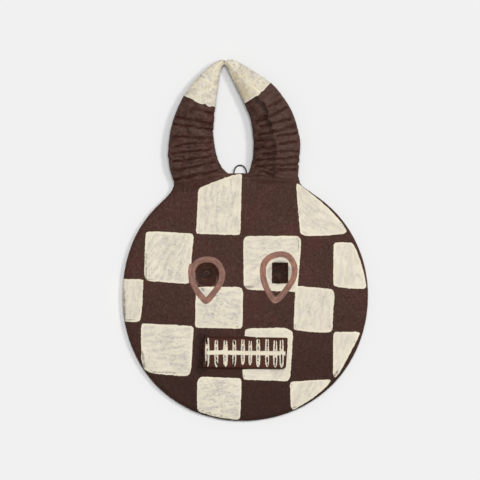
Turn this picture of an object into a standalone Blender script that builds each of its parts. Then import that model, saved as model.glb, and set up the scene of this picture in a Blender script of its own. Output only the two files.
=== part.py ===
"""A papier-mache copy of a horned disc mask, lying on its back: metres, +Z out of the face, +Y up the horns.

The mask is one moulded solid: a shallow domed disc with a hollow back, two ribbed horns that lean together
and join at their tips, two blind eye pits and a raised mouth block. A wire loop, pushed through the rim
between the horns, hangs it up. The origin is on the table, at the middle of the mask's bounding box.
"""

from math import asin, atan, atan2, cos, pi, radians, sin, sqrt, tan

import bmesh
import bpy
from mathutils import Matrix, Vector

# The disc: a dome on a low round-edged rim, hollow behind
DISC_RADIUS = 0.1490
RIM_DEPTH = 0.007
EDGE_RADIUS = 0.005
BACK_EDGE_RADIUS = 0.0015
DOME_RISE = 0.010
WALL = 0.0045
RIM_WALL = 0.0055
HOLLOW_CORNER = 0.003
DISC_SIDES = 88
# How the hand-made disc strays from a circle: waves round it, height of a wave as a share of the radius,
# angle of its first crest
OUT_OF_ROUND = (
    (1, 0.0054, radians(160)),
    (2, 0.0047, radians(-73)),
    (3, 0.0067, radians(7)),
    (4, 0.0060, radians(43)),
)

# The horns: HORN_REACH is how far they stand above the top of the disc, and HORN_LIFT how far they swing
# forward, clear of the wall; their heights are given before that lift
HORN_REACH = 0.1364
HORN_BACK = 0.0015
HORN_EDGE = 0.007
HORN_CROWN = 0.0185
HORN_TIP_CROWN = 0.0105
HORN_LIFT = 0.006
CREST_HEIGHT = 0.0012
RIB_DEPTH = 0.0014
LEFT_RIBS = 10
RIGHT_RIBS = 12

# The mouth: a flat-faced block, turned a little clockwise, with its ends leaning
MOUTH_WIDTH = 0.0985
MOUTH_HEIGHT = 0.0357
MOUTH_PROUD = 0.009
MOUTH_DROP = 0.0669
MOUTH_SHIFT = -0.0004
MOUTH_TURN = radians(-0.9)
MOUTH_LEAN = radians(3.0)
MOUTH_EDGE = 0.0012

# The eyes: blind round pits, with the wall pushed out behind them, placed from the disc's centre in
# shares of its radius
EYE_RADIUS = 0.0145
EYE_DEPTH = 0.0085
EYE_WALL = 0.0035
LEFT_EYE = (-0.311, 0.188)
RIGHT_EYE = (0.279, 0.198)
EYE_SIDES = 28

# The hanging wire: an arch above the rim, with its ends bent apart inside the hollow
WIRE_RADIUS = 0.0008
WIRE_GAP = 0.0003
WIRE_SPAN = 0.0150
WIRE_RISE = 0.0092
WIRE_SHIFT = -0.0058
WIRE_HEIGHT = 0.0033
WIRE_TAIL = 0.0090
WIRE_BEND = 0.0022
WIRE_STANDOFF = 0.0005

# Cutters run this far past the faces that they cut
OVERRUN = 0.004

# Where each horn's edges run, from its root to its tip, outer point beside inner point.
# Root rows give the outer point as (angle on the disc, stand-off from its edge in shares of its radius);
# all else is in shares of HORN_REACH from the top of the disc.
LEFT_ROOT = (
    (148.0, -0.0027, (0.006, -0.291)),
    (136.5, 0.0020, (-0.020, -0.186)),
    (128.2, 0.0074, (-0.064, -0.089)),
)
LEFT_HORN = (
    ((-0.630, -0.115), (-0.139, -0.010)),
    ((-0.651, -0.014), (-0.207, 0.065)),
    ((-0.677, 0.113), (-0.245, 0.162)),
    ((-0.673, 0.272), (-0.268, 0.276)),
    ((-0.636, 0.461), (-0.272, 0.386)),
    ((-0.541, 0.681), (-0.254, 0.602)),
    ((-0.419, 0.837), (-0.233, 0.764)),
    ((-0.293, 0.952), (-0.211, 0.909)),
    ((-0.209, 0.998), (-0.186, 0.949)),
    ((-0.179, 0.979), (-0.173, 0.958)),
)
RIGHT_ROOT = (
    (51.8, 0.0000, (-0.170, -0.291)),
    (59.0, 0.0094, (-0.126, -0.186)),
    (62.5, 0.0201, (-0.064, -0.098)),
)
RIGHT_HORN = (
    ((0.484, -0.067), (0.009, -0.017)),
    ((0.475, 0.017), (0.044, 0.047)),
    ((0.490, 0.184), (0.064, 0.157)),
    ((0.483, 0.320), (0.069, 0.285)),
    ((0.428, 0.514), (0.047, 0.461)),
    ((0.347, 0.656), (0.015, 0.551)),
    ((0.232, 0.793), (-0.013, 0.612)),
    ((0.100, 0.881), (-0.079, 0.753)),
    ((-0.024, 0.958), (-0.143, 0.877)),
    ((-0.120, 0.999), (-0.179, 0.947)),
    ((-0.186, 0.981), (-0.193, 0.960)),
)
# How far across each horn its crest lies, from the outer edge, and the rows between which its ribs lie
LEFT_CREST = 0.42
RIGHT_CREST = 0.57
LEFT_RIB_ROWS = (2.9, 7.75)
RIGHT_RIB_ROWS = (2.9, 8.6)

# The disc's centre, which puts the origin at the middle of the bounding box
DISC_CENTRE_Y = -HORN_REACH / 2


def roundness(angle):
    """The disc's real radius at an angle, as a share of DISC_RADIUS."""
    return 1 + sum(height * cos(waves * (angle - crest)) for waves, height, crest in OUT_OF_ROUND)


def face_height(r):
    """Height of the dome's outside above the table, at a distance from the disc's centre."""
    flat_edge = DISC_RADIUS - EDGE_RADIUS
    return RIM_DEPTH + EDGE_RADIUS + DOME_RISE * (1 - (r / flat_edge) ** 2)


def arc(centre_r, centre_z, radius, start, end, steps):
    """Points on an arc in a turned profile; an angle of 0 points outwards and 90 degrees up."""
    points = []
    for i in range(steps + 1):
        a = start + (end - start) * i / steps
        points.append((centre_r + radius * cos(a), centre_z + radius * sin(a)))
    return points


def turned(name, profile, sides, x=0.0, y=0.0):
    """A solid turned about a vertical axis; where its profile stops short of the axis, a flat face closes it."""
    bm = bmesh.new()
    points = [bm.verts.new((r, 0, z)) for r, z in profile]
    edges = [bm.edges.new(pair) for pair in zip(points, points[1:])]
    bmesh.ops.spin(
        bm, geom=points + edges, axis=(0, 0, 1), cent=(0, 0, 0), steps=sides, angle=2 * pi
    )
    bmesh.ops.remove_doubles(bm, verts=bm.verts, dist=1e-6)
    bmesh.ops.holes_fill(bm, edges=bm.edges)
    bmesh.ops.recalc_face_normals(bm, faces=bm.faces)
    return as_object(name, bm, x, y)


def shape_by_hand(made):
    """Takes a turned disc out of round."""
    for v in made.data.vertices:
        share = roundness(atan2(v.co.y, v.co.x))
        v.co.x *= share
        v.co.y *= share
    return made


def as_object(name, bm, x=0.0, y=0.0):
    """Turns a bmesh into an object at a place on the table."""
    mesh = bpy.data.meshes.new(name)
    bm.to_mesh(mesh)
    bm.free()
    made = bpy.data.objects.new(name, mesh)
    made.location = (x, y, 0)
    bpy.context.scene.collection.objects.link(made)
    return made


def guide(made):
    """Marks an object that only shapes another one."""
    made.hide_render = True
    made.display_type = "WIRE"
    return made


def combine(target, tool, operation):
    """Joins a guide to the target, or cuts it away."""
    change = target.modifiers.new(tool.name, "BOOLEAN")
    change.operation = operation
    change.object = guide(tool)
    change.solver = "EXACT"


def dome_profile(inset, steps):
    """The dome's outside from its centre to the round edge, lowered by inset."""
    slope = atan(2 * DOME_RISE / (DISC_RADIUS - EDGE_RADIUS))
    last = DISC_RADIUS - EDGE_RADIUS + EDGE_RADIUS * sin(slope)
    radii = [last * i / steps for i in range(steps + 1)]
    return [(r, face_height(r) - inset) for r in radii], slope


def make_disc():
    """The disc as a full solid: dome, round edge and flat back."""
    profile, slope = dome_profile(0.0, 6)
    edge = arc(DISC_RADIUS - EDGE_RADIUS, RIM_DEPTH, EDGE_RADIUS, pi / 2 - slope, 0, 4)
    back_edge = arc(DISC_RADIUS - BACK_EDGE_RADIUS, BACK_EDGE_RADIUS, BACK_EDGE_RADIUS, 0, -pi / 2, 1)
    profile += edge[1:] + back_edge
    return shape_by_hand(turned("mask", profile, DISC_SIDES, 0, DISC_CENTRE_Y))


def make_hollow():
    """The space behind the dome, which keeps the wall's thickness and a flat foot round the rim."""
    outer = DISC_RADIUS - RIM_WALL
    profile, slope = dome_profile(WALL, 4)
    corner_centre_r = outer - HOLLOW_CORNER
    profile = [point for point in profile if point[0] < corner_centre_r]
    corner_z = face_height(corner_centre_r) - WALL - HOLLOW_CORNER
    profile += arc(corner_centre_r, corner_z, HOLLOW_CORNER, pi / 2 - slope, 0, 3)
    profile.append((outer, -OVERRUN))
    return shape_by_hand(turned("hollow", profile, DISC_SIDES, 0, DISC_CENTRE_Y))


def on_disc(angle, standoff):
    """A point near the disc's edge, from the disc's centre."""
    a = radians(angle)
    return Vector((cos(a), sin(a))) * DISC_RADIUS * (roundness(a) + standoff)


def above_disc(share):
    """A point in shares of HORN_REACH from the top of the disc, from the disc's centre."""
    return Vector(share) * HORN_REACH + Vector((0, DISC_RADIUS))


def through(points, row):
    """A smooth curve through points, read at a row number that may lie between two of them."""
    last = len(points) - 1
    i = min(int(row), last - 1)
    t = row - i
    before, a = points[max(i - 1, 0)], points[i]
    b, after = points[i + 1], points[min(i + 2, last)]
    return 0.5 * (
        2 * a
        + (b - before) * t
        + (2 * before - 5 * a + 4 * b - after) * t**2
        + (3 * a - before - 3 * b + after) * t**3
    )


def smooth_step(value, low, high):
    """0 below low, 1 above high, and a smooth rise between them."""
    t = min(1.0, max(0.0, (value - low) / (high - low)))
    return t * t * (3 - 2 * t)


def crown_at(row, root_rows, last_row):
    """A horn's height along its crest: sunk in the disc at the root, full above it, low at the tip."""
    root_height = RIM_DEPTH + EDGE_RADIUS - WALL / 4
    rise = smooth_step(row, root_rows - 1.6, root_rows + 0.8)
    full = root_height + (HORN_CROWN - root_height) * rise
    fall = smooth_step(row, last_row * 0.55, last_row - 1)
    return full + (HORN_TIP_CROWN - full) * fall


def horn_section(outer, inner, crown, crest, pinch, lift):
    """One closed loop round a horn: over the top from the outer edge to the inner, and back underneath."""
    top_steps, back_steps = 10, 6
    loop = []
    for i in range(top_steps + 1):
        share = (1 - cos(pi * i / top_steps)) / 2
        away = (crest - share) / crest if share < crest else (share - crest) / (1 - crest)
        bulge = max(0.0, 1 - away**2.2) ** 0.6
        height = HORN_EDGE + (crown - HORN_EDGE) * bulge + pinch * max(0.0, 1 - away) ** 4
        place = outer.lerp(inner, share)
        loop.append((place.x, place.y, height + lift))
    for i in range(1, back_steps):
        share = (1 + cos(pi * i / back_steps)) / 2
        rounding = abs(2 * share - 1) ** 4
        place = outer.lerp(inner, share)
        height = HORN_BACK + (HORN_EDGE - HORN_BACK) * rounding
        loop.append((place.x, place.y, height + lift))
    return loop


def horn_rows(rib_rows, ribs, last_row):
    """The rows at which a horn is modelled, each with how deep in a groove it lies, from 0 to 1."""
    first, last = rib_rows
    pitch = (last - first) / (ribs - 1)
    rows = [(row * 0.5, 0.0) for row in range(int(2 * (first - pitch / 2)) + 1)]
    for i in range(ribs):
        middle = first + pitch * i
        rows += [(middle - pitch * 0.22, 0.1), (middle, 1.0), (middle + pitch * 0.22, 0.1)]
        if i < ribs - 1:
            rows.append((middle + pitch / 2, -0.15))
    tail = last + pitch / 2
    smooth_rows = 7
    rows += [(tail + (last_row - tail) * i / smooth_rows, 0.0) for i in range(smooth_rows + 1)]
    return rows


def make_horn(name, root, shares, crest, rib_rows, ribs):
    """A solid lofted between a horn's two edges, with its ribs as grooves across the top."""
    outer = [on_disc(angle, standoff) for angle, standoff, _ in root]
    inner = [above_disc(share) for _, _, share in root]
    outer += [above_disc(pair[0]) for pair in shares]
    inner += [above_disc(pair[1]) for pair in shares]
    last_row = len(outer) - 1
    bm = bmesh.new()
    loops = []
    for row, groove in horn_rows(rib_rows, ribs, last_row):
        crown = crown_at(row, len(root), last_row) - RIB_DEPTH * groove
        pinch = CREST_HEIGHT * smooth_step(row, len(root) - 1, len(root) + 1)
        lift = HORN_LIFT * smooth_step(row, len(root) - 1.5, len(root) + 3)
        loop = horn_section(through(outer, row), through(inner, row), crown, crest, pinch, lift)
        loops.append([bm.verts.new(point) for point in loop])
    for low, high in zip(loops, loops[1:]):
        for i in range(len(low)):
            j = (i + 1) % len(low)
            bm.faces.new((low[i], low[j], high[j], high[i]))
    bm.faces.new(loops[0])
    bm.faces.new(loops[-1])
    bmesh.ops.triangulate(bm, faces=bm.faces)
    bmesh.ops.recalc_face_normals(bm, faces=bm.faces)
    return as_object(name, bm, 0, DISC_CENTRE_Y)


def make_mouth():
    """The mouth block, from inside the wall to its flat face."""
    distance = sqrt(MOUTH_DROP**2 + MOUTH_SHIFT**2)
    top = face_height(distance) + MOUTH_PROUD
    far_corner = sqrt((MOUTH_DROP + MOUTH_HEIGHT / 2) ** 2 + (MOUTH_WIDTH / 2) ** 2)
    bottom = face_height(far_corner) - WALL / 2
    bm = bmesh.new()
    bmesh.ops.create_cube(bm, size=1.0)
    bmesh.ops.scale(bm, vec=(MOUTH_WIDTH, MOUTH_HEIGHT, top - bottom), verts=bm.verts)
    bmesh.ops.translate(bm, vec=(0, 0, (top + bottom) / 2), verts=bm.verts)
    soft = [edge for edge in bm.edges if max(v.co.z for v in edge.verts) > bottom + MOUTH_EDGE]
    bmesh.ops.bevel(bm, geom=soft, offset=MOUTH_EDGE, segments=2, profile=0.5, affect="EDGES")
    for v in bm.verts:
        v.co.x += v.co.y * tan(MOUTH_LEAN)
    bmesh.ops.rotate(bm, cent=(0, 0, 0), matrix=Matrix.Rotation(MOUTH_TURN, 3, "Z"), verts=bm.verts)
    return as_object("mouth", bm, MOUTH_SHIFT, DISC_CENTRE_Y - MOUTH_DROP)


def eye_ball(eye):
    """The centre height and radius of the ball whose cap is an eye's pit."""
    ball = (EYE_RADIUS**2 + EYE_DEPTH**2) / (2 * EYE_DEPTH)
    return face_height(eye.length) - EYE_DEPTH + ball, ball


def make_eye_pit(name, eye):
    """The cutter of one eye: the cap of a ball, with a short straight neck above it."""
    centre_z, ball = eye_ball(eye)
    lip = asin(EYE_RADIUS / ball)
    cap = arc(0, centre_z, ball, -pi / 2 + lip, -pi / 2, 6)
    profile = [(EYE_RADIUS, cap[0][1] + OVERRUN)] + cap[:-1] + [(0, cap[-1][1])]
    return turned(name, profile, EYE_SIDES, eye[0], eye[1] + DISC_CENTRE_Y)


def make_eye_back(name, eye):
    """The bulge behind one eye, cut flat in the middle of the wall."""
    centre_z, ball = eye_ball(eye)
    shell = ball + EYE_WALL
    top = face_height(eye.length + EYE_RADIUS) - WALL / 4
    rim = asin((centre_z - top) / shell)
    cap = arc(0, centre_z, shell, -rim, -pi / 2, 5)
    return turned(name, cap[:-1] + [(0, cap[-1][1])], EYE_SIDES, eye[0], eye[1] + DISC_CENTRE_Y)


def make_wire_hole(name, x):
    """The cutter for one leg of the wire, through the rim along Y."""
    reach = RIM_WALL + 2 * OVERRUN
    bm = bmesh.new()
    radius = WIRE_RADIUS + WIRE_GAP
    bmesh.ops.create_cone(bm, cap_ends=True, segments=12, radius1=radius, radius2=radius, depth=reach)
    bmesh.ops.rotate(bm, cent=(0, 0, 0), matrix=Matrix.Rotation(pi / 2, 3, "X"), verts=bm.verts)
    middle = sqrt(DISC_RADIUS**2 - x**2) - RIM_WALL / 2
    bmesh.ops.translate(bm, vec=(0, 0, WIRE_HEIGHT), verts=bm.verts)
    return as_object(name, bm, x, DISC_CENTRE_Y + middle)


def make_wire():
    """The wire: an arch, two straight legs through the rim, and two tails bent apart behind it."""
    leg = WIRE_SPAN / 2
    widest = abs(WIRE_SHIFT) + leg + WIRE_TAIL
    inside = (DISC_RADIUS - RIM_WALL) * min(roundness(pi / 2), roundness(pi / 2 + asin(widest / DISC_RADIUS)))
    tail_y = sqrt(inside**2 - widest**2) - WIRE_RADIUS - WIRE_STANDOFF
    arch_base = DISC_RADIUS
    right_side = [(leg + WIRE_BEND + (WIRE_TAIL - WIRE_BEND) * i / 3, tail_y) for i in (3, 2, 1, 0)]
    for i in range(1, 5):
        a = pi / 2 * i / 4
        right_side.append((leg + WIRE_BEND * (1 - sin(a)), tail_y + WIRE_BEND * (1 - cos(a))))
    right_side.append((leg, arch_base))
    arch = []
    arch_steps = 12
    for i in range(1, arch_steps):
        a = pi * i / arch_steps
        arch.append((leg * cos(a), arch_base + WIRE_RISE * sin(a)))
    left_side = [(-x, y) for x, y in reversed(right_side)]
    path = right_side + arch + left_side
    curve = bpy.data.curves.new("hanging_wire", "CURVE")
    curve.dimensions = "3D"
    curve.bevel_depth = WIRE_RADIUS
    curve.bevel_resolution = 2
    curve.use_fill_caps = True
    spline = curve.splines.new("POLY")
    spline.points.add(len(path) - 1)
    for point, (x, y) in zip(spline.points, path):
        point.co = (x, y, 0, 1)
    made = bpy.data.objects.new("hanging_wire", curve)
    made.location = (WIRE_SHIFT, DISC_CENTRE_Y, WIRE_HEIGHT)
    bpy.context.scene.collection.objects.link(made)
    return made


def paint(made, name, colour, roughness, metallic):
    """Gives an object its material."""
    material = bpy.data.materials.new(name)
    material.use_nodes = True
    shader = material.node_tree.nodes["Principled BSDF"]
    shader.inputs["Base Color"].default_value = (*colour, 1)
    shader.inputs["Roughness"].default_value = roughness
    shader.inputs["Metallic"].default_value = metallic
    made.data.materials.append(material)


def make_mask():
    """The whole papier-mache body, joined and cut in the order in which it is described above."""
    mask = make_disc()
    combine(mask, make_horn("left_horn", LEFT_ROOT, LEFT_HORN, LEFT_CREST, LEFT_RIB_ROWS, LEFT_RIBS), "UNION")
    combine(
        mask, make_horn("right_horn", RIGHT_ROOT, RIGHT_HORN, RIGHT_CREST, RIGHT_RIB_ROWS, RIGHT_RIBS), "UNION"
    )
    combine(mask, make_mouth(), "UNION")
    combine(mask, make_hollow(), "DIFFERENCE")
    for name, share in (("left_eye", LEFT_EYE), ("right_eye", RIGHT_EYE)):
        eye = Vector(share) * DISC_RADIUS
        combine(mask, make_eye_back(name + "_back", eye), "UNION")
        combine(mask, make_eye_pit(name + "_pit", eye), "DIFFERENCE")
    for name, side in (("left_wire_hole", -1), ("right_wire_hole", 1)):
        combine(mask, make_wire_hole(name, WIRE_SHIFT + side * WIRE_SPAN / 2), "DIFFERENCE")
    mask.data.shade_smooth()
    paint(mask, "painted_papier_mache", (0.075, 0.036, 0.027), 0.75, 0.0)
    return mask


def main():
    for old in list(bpy.data.objects):
        bpy.data.objects.remove(old, do_unlink=True)
    make_mask()
    paint(make_wire(), "dark_iron_wire", (0.02, 0.015, 0.013), 0.5, 0.6)


main()
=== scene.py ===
# A horned disc mask in painted papier-mache, lying on its back and seen from straight above.
from functools import partial
from math import cos, pi, radians, sin

import bmesh
import bpy
import numpy as np
from mathutils import Matrix, Vector


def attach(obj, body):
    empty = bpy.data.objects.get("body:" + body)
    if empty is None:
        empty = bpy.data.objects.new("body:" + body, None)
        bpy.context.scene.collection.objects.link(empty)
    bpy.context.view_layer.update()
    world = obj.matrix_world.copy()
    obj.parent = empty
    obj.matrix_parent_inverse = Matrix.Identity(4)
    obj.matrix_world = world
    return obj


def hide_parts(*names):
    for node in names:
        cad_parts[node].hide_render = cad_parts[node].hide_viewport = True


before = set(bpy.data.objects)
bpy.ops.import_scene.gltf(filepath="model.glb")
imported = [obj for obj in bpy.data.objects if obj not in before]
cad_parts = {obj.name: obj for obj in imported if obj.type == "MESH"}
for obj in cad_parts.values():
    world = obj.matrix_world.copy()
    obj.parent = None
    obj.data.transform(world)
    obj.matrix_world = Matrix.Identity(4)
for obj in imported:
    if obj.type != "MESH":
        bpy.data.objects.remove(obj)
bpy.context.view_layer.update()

# The photograph's frame, its pixels laid on the table at their real size, in millimetres
photoFrame = {"pixel": 1.2, "middleX": 245.0, "middleY": 240.2, "width": 480, "aim": (240.0, 240.0)}


def place(px, py):  # a point of the photograph, in millimetres on the table
    pixel = photoFrame["pixel"]
    return ((px - photoFrame["middleX"]) * pixel, (photoFrame["middleY"] - py) * pixel)


def colour(hexText):  # sRGB hex to linear, with alpha
    parts = [int(hexText[i:i + 2], 16) / 255 for i in (1, 3, 5)]
    return tuple(p / 12.92 if p <= 0.04045 else ((p + 0.055) / 1.055) ** 2.4 for p in parts) + (1.0,)


def addNode(tree, kind, inputs=None, **settings):  # a node with its settings, values and links
    node = tree.nodes.new(kind)
    for name, value in settings.items():
        setattr(node, name, value)
    for key, value in (inputs or {}).items():
        if isinstance(value, bpy.types.Node):
            value = next(socket for socket in value.outputs if socket.enabled)
        if isinstance(value, bpy.types.NodeSocket):
            tree.links.new(value, node.inputs[key])
        else:
            node.inputs[key].default_value = value
    return node


def newMaterial(name):
    material = bpy.data.materials.new(name)
    material.use_nodes = True
    tree = material.node_tree
    return material, tree, tree.nodes["Principled BSDF"]


def linkObject(made):
    bpy.context.scene.collection.objects.link(made)
    return made


# Camera, light and floor come first, so that every look is taken the same way
studio = {
    "cameraHeight": 8.0,      # a long lens from far up, so the mask shows no perspective
    "sensor": 36,
    "farthest": 50,
    "rimHeight": 0.006,       # the height at which the photograph's scale holds
    "floorColour": "#f1f1f1",
    "floorSize": 6.0,
    "keyPower": 0.92,         # a lamp at the right, so far off that it lights evenly
    "keySpread": 13,
    "keyHeight": 57,
    "keyTurn": 17,
    "frontPower": 1.89,       # a soft box overhead keeps the shadows light
    "frontSpread": 22,
    "frontHeight": 82,
    "frontTurn": 80,
    "roomStrength": 0.16,     # white room all round
}


def addLight(name, power, spread, height, turn):  # an even soft light from a direction, in degrees
    light = bpy.data.lights.new(name, "SUN")
    light.energy = power
    light.angle = radians(spread)
    made = linkObject(bpy.data.objects.new(name, light))
    high, side = radians(height), radians(turn)
    made.location = (cos(high) * cos(side), cos(high) * sin(side), sin(high))
    made.rotation_euler = (-made.location).to_track_quat("-Z", "Y").to_euler()


def makeStudio():
    scene = bpy.context.scene
    width = photoFrame["width"] * photoFrame["pixel"] / 1000
    x, y = place(*photoFrame["aim"])
    lens = bpy.data.cameras.new("camera")
    lens.sensor_width = studio["sensor"]
    lens.lens = studio["sensor"] * studio["cameraHeight"] / width
    lens.clip_end = studio["farthest"]
    camera = linkObject(bpy.data.objects.new("camera", lens))
    camera.location = (x / 1000, y / 1000, studio["cameraHeight"] + studio["rimHeight"])
    scene.camera = camera

    addLight("softBox", studio["keyPower"], studio["keySpread"], studio["keyHeight"], studio["keyTurn"])
    addLight("overhead", studio["frontPower"], studio["frontSpread"], studio["frontHeight"], studio["frontTurn"])

    room = bpy.data.worlds.new("whiteRoom")
    room.use_nodes = True
    background = room.node_tree.nodes["Background"].inputs
    background["Color"].default_value = (1, 1, 1, 1)
    background["Strength"].default_value = studio["roomStrength"]
    scene.world = room
    scene.view_settings.view_transform = "Standard"

    half = studio["floorSize"] / 2
    floorMesh = bpy.data.meshes.new("floor")
    floorMesh.from_pydata([(-half, -half, 0), (half, -half, 0), (half, half, 0), (-half, half, 0)], [], [(0, 1, 2, 3)])
    floor = linkObject(bpy.data.objects.new("floor", floorMesh))
    matte, tree, shader = newMaterial("matteWhiteBoard")  # an even pale ground with no gloss
    shader.inputs["Base Color"].default_value = colour(studio["floorColour"])
    shader.inputs["Roughness"].default_value = 1.0
    shader.inputs["Specular IOR Level"].default_value = 0.0
    floorMesh.materials.append(matte)


makeStudio()
print("studio ready")

# The papier-mache body, in millimetres unless a note says metres
body = {
    "grain": 0.0021,          # size of the mesh's faces, in metres
    "discCentre": (0.0, -68.2),
    "discRadius": 149.0,
    "domeTop": 22.0,
    "domeRise": 10.0,
    "domeFlat": 144.0,
    "hollowRadius": 143.5,
    "pitRadius": 14.5,
    "pitDepth": 8.5,
    "wireHoles": ((-13.3, 3.3), (1.7, 3.3)),
    "plugRadius": 1.9,
    "plugLength": 4.8,
    "plugInset": 2.9,         # from the disc's rim in to the middle of a plug
    "outOfRound": ((1, 0.0054, 160), (2, 0.0047, -73), (3, 0.0067, 7), (4, 0.0060, 43)),
}

# The mouth block's corners in the photograph, and the middles of the two eye pits
mouthCorners = [(205.0, 337.1), (286.2, 338.4), (284.7, 367.9), (202.7, 366.9)]
pits = {"left": (206.4, 273.6), "right": (279.6, 272.4)}
absent = -20.0                # the depth of a mark where it isn't

# The cream checks: the way their brush strokes run, in degrees, how thin the paint is, and their corners, clockwise
creamChecks = {
    "brow": (84, 0.50, [(198.5, 185), (229.6, 175.4), (234.5, 173.4), (241.9, 173.2), (240.3, 235.3), (196, 233.7)]),
    "rightShoulder": (-42, 0.45, [(295.8, 183), (300, 183.8), (313.5, 194.5), (331.5, 210), (341.5, 221.8),
        (348, 231), (346.6, 233.6), (312, 236.8), (300.3, 235)]),
    "leftTemple": (58, 0.62, [(145.8, 231.6), (150, 230.7), (193.9, 233.9), (189.2, 284), (146.7, 280.8),
        (144, 276)]),
    "rightEye": (2, 0.45, [(243.2, 238), (245.2, 236), (299.5, 236), (301.3, 239), (297.2, 291.8), (246, 289.6),
        (243.6, 286)]),
    "rightTemple": (80, 0.12, [(333.5, 242.3), (345, 241.6), (353, 242), (357.5, 250.8), (361.9, 261.7),
        (364.9, 271.7), (366.5, 281), (366.8, 289), (345, 288.6), (333.2, 286.3)]),
    "leftEdge": (85, 0.30, [(116, 279), (144.4, 279.2), (144, 290), (142, 317), (140.4, 321.9), (116, 321.4)]),
    "leftCheek": (-12, 0.85, [(196, 286.8), (241.5, 286.8), (243.2, 289.4), (242.2, 328.6), (194.9, 327.4)]),
    "rightCheek": (88, 0.35, [(295.4, 285.6), (333, 289), (334.5, 291), (332, 332.2), (318, 333), (293.5, 329.9)]),
    "leftJaw": (3, 0.55, [(140.9, 323.2), (193.8, 326), (190.8, 374), (188.4, 376.2), (150.6, 373.4), (144.4, 370.2),
        (140.9, 361.5), (140.4, 348)]),
    "mouth": (0, 0.15, [(245.2, 328.4), (286, 327.4), (293, 331.5), (290.2, 379), (288.8, 381), (243, 379.4),
        (242, 376)]),
    "rightEdge": (82, 0.30, [(333.2, 331.8), (361.9, 332), (358.5, 340), (354, 349), (347.4, 361), (341.6, 371.5),
        (336, 378.6), (332.9, 377)]),
    "chin": (3, 0.80, [(197, 381), (200, 376.5), (241.5, 378.2), (242, 382), (239.8, 420), (226, 419.4), (210, 416),
        (197.3, 411.3)]),
    "rightJaw": (70, 0.40, [(289.9, 381.2), (310, 379.5), (332.8, 379), (326, 388.2), (315, 397.4), (302, 405.8),
        (292.5, 411), (290.6, 408)]),
}
# Where specks of dark paint were dragged over the cream: a line, and how far they reach from it
dragMarks = [
    ((246, 286.5), (252, 286.8), 2.4), ((297.5, 238), (298.5, 249), 1.3), ((201.5, 288.6), (204, 289.6), 1.6),
    ((145.8, 253), (146.2, 279), 1.4), ((148, 279.5), (160, 281), 1.0), ((124.0, 290), (124.6, 320), 1.7),
    ((124.5, 320), (138, 320.4), 0.9), ((142.2, 352), (144.6, 367), 2.0), ((150, 371.4), (176, 373.2), 1.4),
    ((294.5, 325), (296.5, 330.5), 1.7), ((329, 326), (333, 331.5), 1.5), ((327.5, 380.6), (332.5, 379.2), 1.5),
    ((333.4, 376.8), (337.2, 371.4), 2.0), ((345.5, 229.5), (340, 223), 1.0), ((236, 326.5), (241.5, 325.5), 1.1),
    ((198.5, 409), (212, 414.8), 0.9), ((209, 412.5), (224, 417), 0.8), ((243.3, 372), (244.2, 377.5), 1.3),
    ((362.5, 262), (365.5, 278), 0.9), ((357.6, 274), (360.8, 279.5), 0.9), ((198.2, 231), (199.4, 232.6), 1.2),
    ((236.5, 229), (239.3, 231.6), 1.1), ((292.3, 408), (296.5, 406.5), 1.0),
]
checkCorner = 1.4             # how round the checks' corners are, and the block's and the pupil's
blockCorner = 0.5
checkReach = 4                # how far past a check the way of its strokes still counts
dragStart = 1.3               # how strong a dragged mark is along its line

# The cream tips end where these ragged lines cross the horns, from the outer edge to the inner
tipLines = {
    "left": [(178, 93.5), (184.5, 96), (187, 97.4), (190, 98.5), (192.5, 99.5), (195, 101.5), (198, 103), (200.5, 104),
             (203.5, 104.6), (205, 103.7), (207, 105.9), (210, 107), (212.8, 106.1), (215.5, 107.8), (221, 110.5)],
    "right": [(239.5, 105.5), (243.8, 103.6), (246, 102.8), (249, 101), (252, 98.8), (255.5, 96.5), (257.5, 96.4),
              (260, 94), (261, 92), (263, 91.3), (266, 88), (269, 84.5), (271, 82.5), (277, 76.5)],
}
# Yellowish edges of the paper strips on the tips
stripSeams = [
    [(199.5, 77.3), (203.5, 79.6), (208, 81.6), (211, 84), (214.6, 87.4)],
    [(192.5, 87), (198, 88), (203, 89.6), (206, 91.6), (210, 94), (216, 96.6)],
    [(200.3, 88), (200.8, 94), (200.4, 102)], [(213.4, 71), (213.2, 78), (212.4, 85), (211.8, 92)],
    [(208, 68), (200, 75), (190, 86), (184.6, 93.4)], [(222, 62), (217.4, 66.8), (212, 69.5)],
    [(242.2, 77), (246, 73), (250, 69.6)], [(251.8, 85.4), (255.8, 80.2), (259, 77.4), (260.4, 75)],
    [(246, 78), (252, 86), (258.4, 92)], [(229, 64), (236, 70.5), (242, 77), (245.4, 82)],
    [(232, 82.4), (238.6, 80.6), (244, 83)], [(261.4, 90), (265.4, 83.6), (268, 79.8)],
    [(230.4, 73), (232.6, 77.5), (236, 87.5)],
]
seamHalf = 0.42
# painted shade in the crevice where the two tips meet
joinMark = [(224.0, 59.6, 224.1, 62.8, 0.55), (224.1, 62.8, 224.6, 65.0, 0.3)]  # a dark gap where the tips meet

# The middle line of each horn, from its root to its tip
hornMiddles = {
    "left": [(194, 186), (192, 160), (191.5, 140), (193.5, 120), (198, 104), (205, 90), (213, 76), (222, 62)],
    "right": [(275, 184), (276.5, 160), (276.5, 140), (272.5, 120), (264.5, 104), (255.5, 90), (243, 76), (228, 62)],
}
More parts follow.
